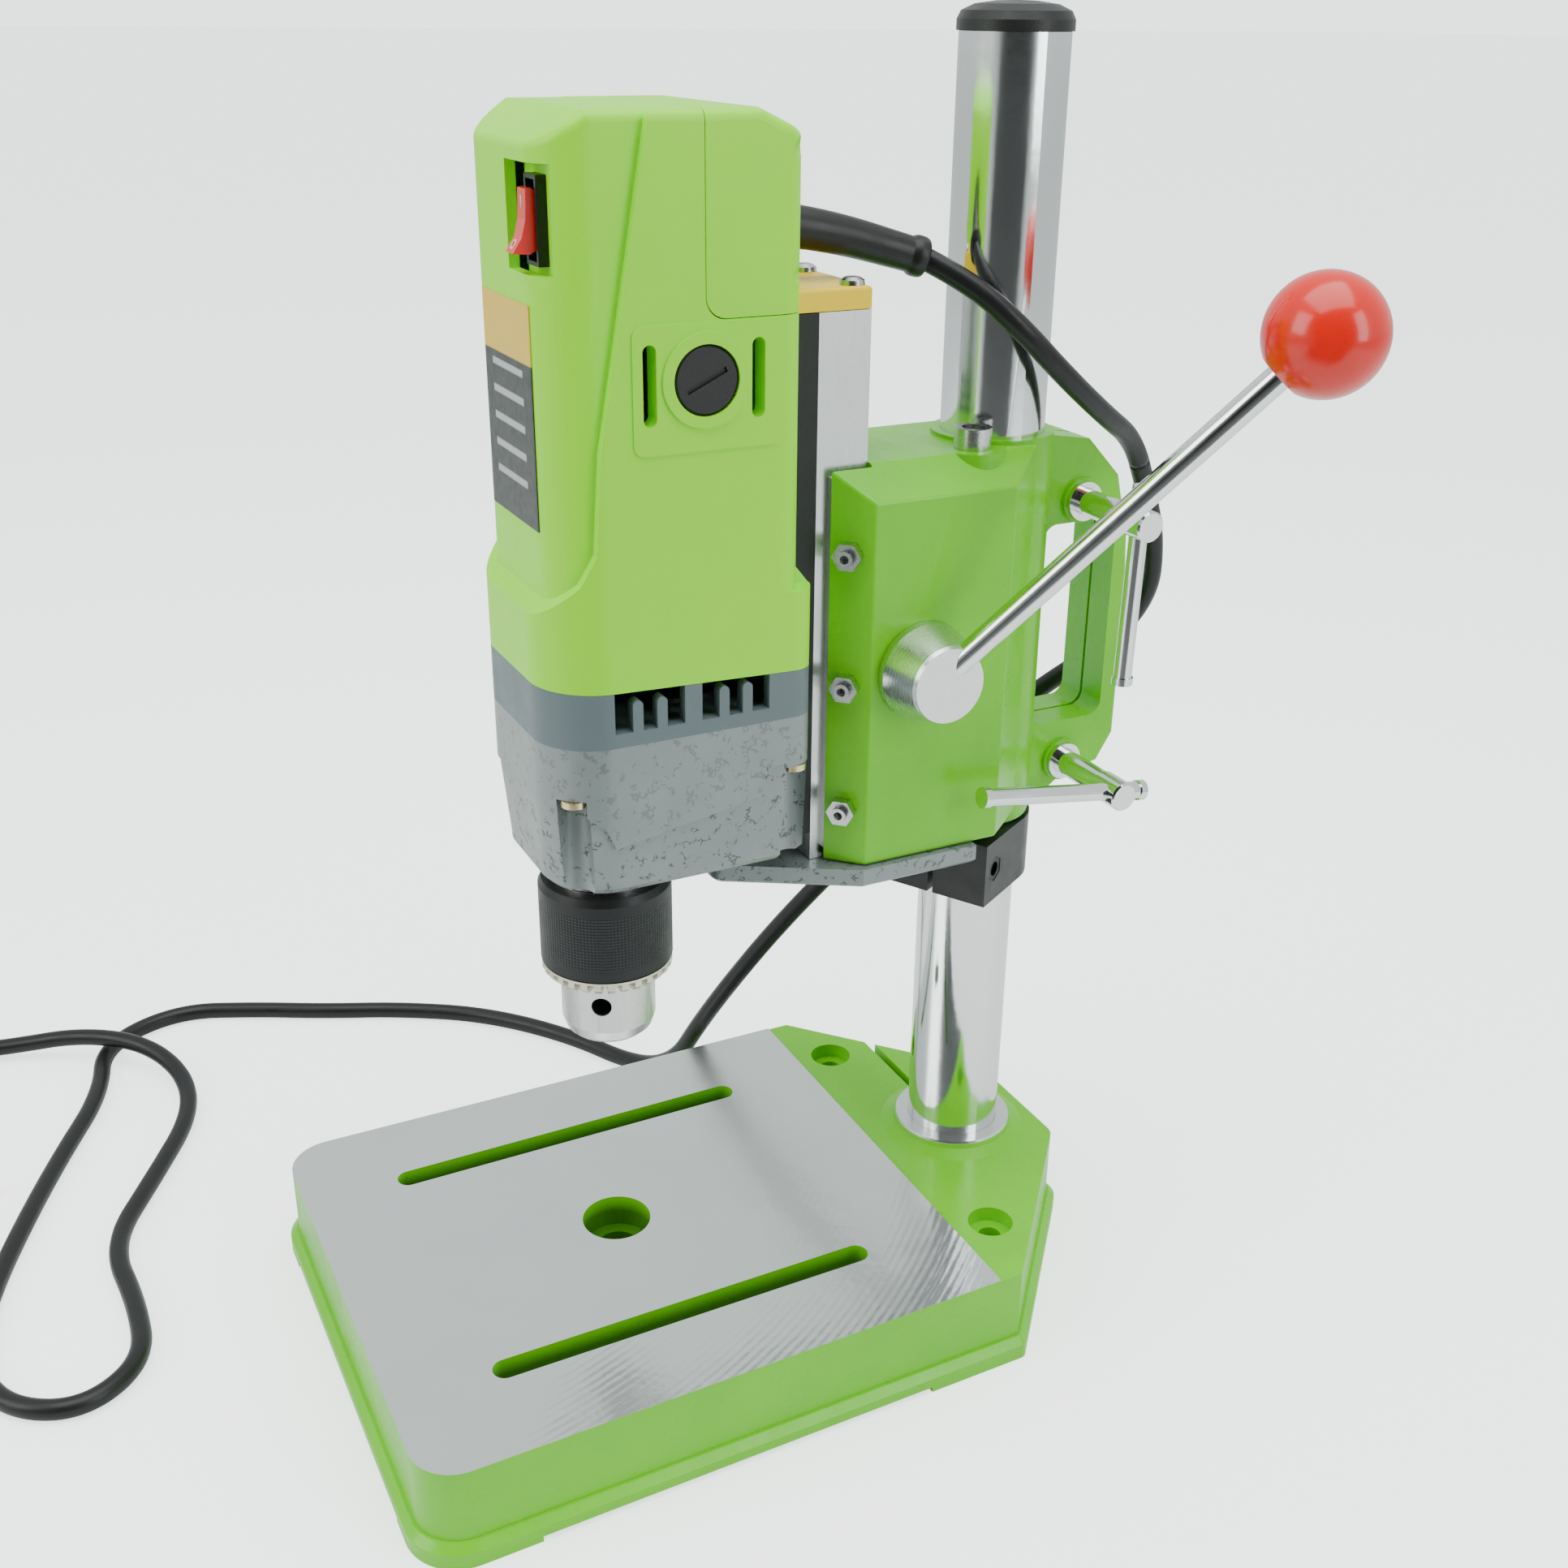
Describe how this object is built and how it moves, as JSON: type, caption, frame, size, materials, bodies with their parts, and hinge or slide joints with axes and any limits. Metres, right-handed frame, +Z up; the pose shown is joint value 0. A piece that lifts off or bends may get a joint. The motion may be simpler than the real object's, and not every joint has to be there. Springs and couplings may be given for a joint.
{
  "type": "drill press",
  "caption": "Small bench drill press: slotted cast base, steel column, split head with rack and pinion feed lever, motor head with keyed chuck and mains lead.",
  "frame": {"origin": "on the floor under the spindle axis, at the middle of the base's centre boss", "axes": "+Z up along the spindle and column, -Y towards the front of the machine, +X towards the feed lever"},
  "size_m": [0.3942, 0.4887, 0.4275],
  "materials": {
    "green_casting": "glossy enamel",
    "chromed_steel": "polished",
    "black_plastic": "moulded",
    "zinc_screw": "zinc plated",
    "turned_aluminium": "turned",
    "ground_steel": "ground",
    "black_paint": "satin",
    "hammertone_grey": "hammertone",
    "smooth_grey": "satin",
    "lime_plastic": "moulded satin",
    "yellow_plastic": "moulded",
    "red_plastic": "moulded",
    "chuck_steel": "machined",
    "black_rubber": "moulded",
    "label": "printed film, blank",
    "brass_screw": "yellow zinc",
    "copper": "copper",
    "carbon": "pressed carbon"
  },
  "bodies": {
    "root": {"base_casting": "green_casting", "column_tube": "chromed_steel", "column_cap": "black_plastic", "base_clamp_screw": "zinc_screw", "cord_floor": "black_rubber", "cord_plug": "black_rubber", "plug_pins": "brass_screw"},
    "collar": {"stop_collar": "black_plastic", "collar_screw": "zinc_screw", "collar_nut": "zinc_screw", "cord_middle": "black_rubber"},
    "head": {"head_casting": "green_casting", "gib_strip": "ground_steel", "gib_screws": "zinc_screw", "gib_lock_nuts": "zinc_screw", "head_top_screw": "zinc_screw", "shaft_bushings": "brass_screw", "spring_cap": "black_plastic", "return_spring": "ground_steel", "clamp_washers": "chromed_steel"},
    "upper_clamp": {"clamp_screw_upper": "chromed_steel"},
    "upper_bar": {"clamp_bar_upper": "chromed_steel"},
    "lower_clamp": {"clamp_screw_lower": "chromed_steel"},
    "lower_bar": {"clamp_bar_lower": "chromed_steel"},
    "lever": {"pinion_shaft": "ground_steel", "feed_hub": "turned_aluminium", "feed_lever": "chromed_steel", "lever_knob": "red_plastic"},
    "carriage": {"slide_bar": "ground_steel", "slide_spacer": "black_paint", "slide_cap": "yellow_plastic", "slide_screws": "zinc_screw", "foot_plate": "hammertone_grey", "gearbox_housing": "hammertone_grey", "vent_ring": "smooth_grey", "motor_shell": "lime_plastic", "rear_cover": "lime_plastic", "nameplate": "label", "brush_caps": "black_plastic", "brushes": "carbon", "switch_frame": "black_plastic", "housing_screws": "brass_screw", "stator": "ground_steel", "bearings": "ground_steel", "strain_relief": "black_rubber", "cord_upper": "black_rubber"},
    "rocker": {"switch_rocker": "red_plastic"},
    "armature": {"armature": "ground_steel", "commutator": "copper", "fan": "carbon"},
    "spindle": {"spindle": "ground_steel", "output_gear": "ground_steel", "chuck_body": "chuck_steel"},
    "sleeve": {"chuck_sleeve": "black_plastic", "chuck_gear_ring": "chuck_steel", "chuck_nut": "chuck_steel"},
    "jaw_1": {"jaw_1": "chuck_steel"},
    "jaw_2": {"jaw_2": "chuck_steel"},
    "jaw_3": {"jaw_3": "chuck_steel"}
  },
  "joints": [
    {"name": "head_height", "type": "slide", "parent": "root", "child": "collar", "axis": [0, 0, 1], "range_m": [-0.015, 0.11], "deforming": ["cord_floor", "cord_middle"]},
    {"name": "head_swing", "type": "hinge", "parent": "collar", "child": "head", "pos_m": [0, 0.1385, 0], "axis": [0, 0, 1], "range_deg": [-45, 45], "deforming": ["cord_middle", "cord_upper"]},
    {"name": "feed_slide", "type": "slide", "parent": "head", "child": "carriage", "axis": [0, 0, -1], "range_m": [0, 0.06], "stiffness_N_per_m": 300, "springref_m": -0.16, "deforming": ["cord_upper", "strain_relief", "return_spring"]},
    {"name": "feed_lever_turn", "type": "hinge", "parent": "head", "child": "lever", "pos_m": [0, 0.096, 0.2355], "axis": [1, 0, 0], "range_deg": [-0.5, 209]},
    {"name": "upper_clamp_turn", "type": "hinge", "parent": "head", "child": "upper_clamp", "pos_m": [0, 0.1675, 0.277], "axis": [1, 0, 0], "range_deg": [-75, 10]},
    {"name": "upper_bar_slide", "type": "slide", "parent": "upper_clamp", "child": "upper_bar", "axis": [0, -0.02, -0.9998], "range_m": [-0.046, 0.004]},
    {"name": "lower_clamp_turn", "type": "hinge", "parent": "head", "child": "lower_clamp", "pos_m": [0, 0.1675, 0.184], "axis": [1, 0, 0], "range_deg": [-40, 45]},
    {"name": "lower_bar_slide", "type": "slide", "parent": "lower_clamp", "child": "lower_bar", "axis": [0, -0.9888, 0.1495], "range_m": [-0.046, 0.004]},
    {"name": "switch_tip", "type": "hinge", "parent": "carriage", "child": "rocker", "pos_m": [0, -0.019, 0.3735], "axis": [1, 0, 0], "range_deg": [0, 18]},
    {"name": "spindle_spin", "type": "hinge", "parent": "carriage", "child": "spindle", "pos_m": [0, 0, 0.15], "axis": [0, 0, 1], "continuous": true},
    {"name": "armature_spin", "type": "hinge", "parent": "carriage", "child": "armature", "pos_m": [0, 0.021, 0.28], "axis": [0, 0, 1], "continuous": true},
    {"name": "sleeve_turn", "type": "hinge", "parent": "spindle", "child": "sleeve", "pos_m": [0, 0, 0.155], "axis": [0, 0, 1], "range_deg": [-1790, 3470]},
    {"name": "jaw_1_slide", "type": "slide", "parent": "spindle", "child": "jaw_1", "axis": [-0.1948, -0.1125, -0.9744], "range_m": [-0.0076, 0.0146]},
    {"name": "jaw_2_slide", "type": "slide", "parent": "spindle", "child": "jaw_2", "axis": [0.1948, -0.1125, -0.9744], "range_m": [-0.0076, 0.0146]},
    {"name": "jaw_3_slide", "type": "slide", "parent": "spindle", "child": "jaw_3", "axis": [0, 0.225, -0.9744], "range_m": [-0.0076, 0.0146]}
  ],
  "couplings": [
    {"joint": "feed_lever_turn", "follows": "feed_slide", "rad_per_m": 60.606},
    {"joint": "armature_spin", "follows": "spindle_spin", "ratio": -4},
    {"joint": "jaw_1_slide", "follows": "sleeve_turn", "m_per_rad": 0.000239},
    {"joint": "jaw_2_slide", "follows": "sleeve_turn", "m_per_rad": 0.000239},
    {"joint": "jaw_3_slide", "follows": "sleeve_turn", "m_per_rad": 0.000239}
  ]
}
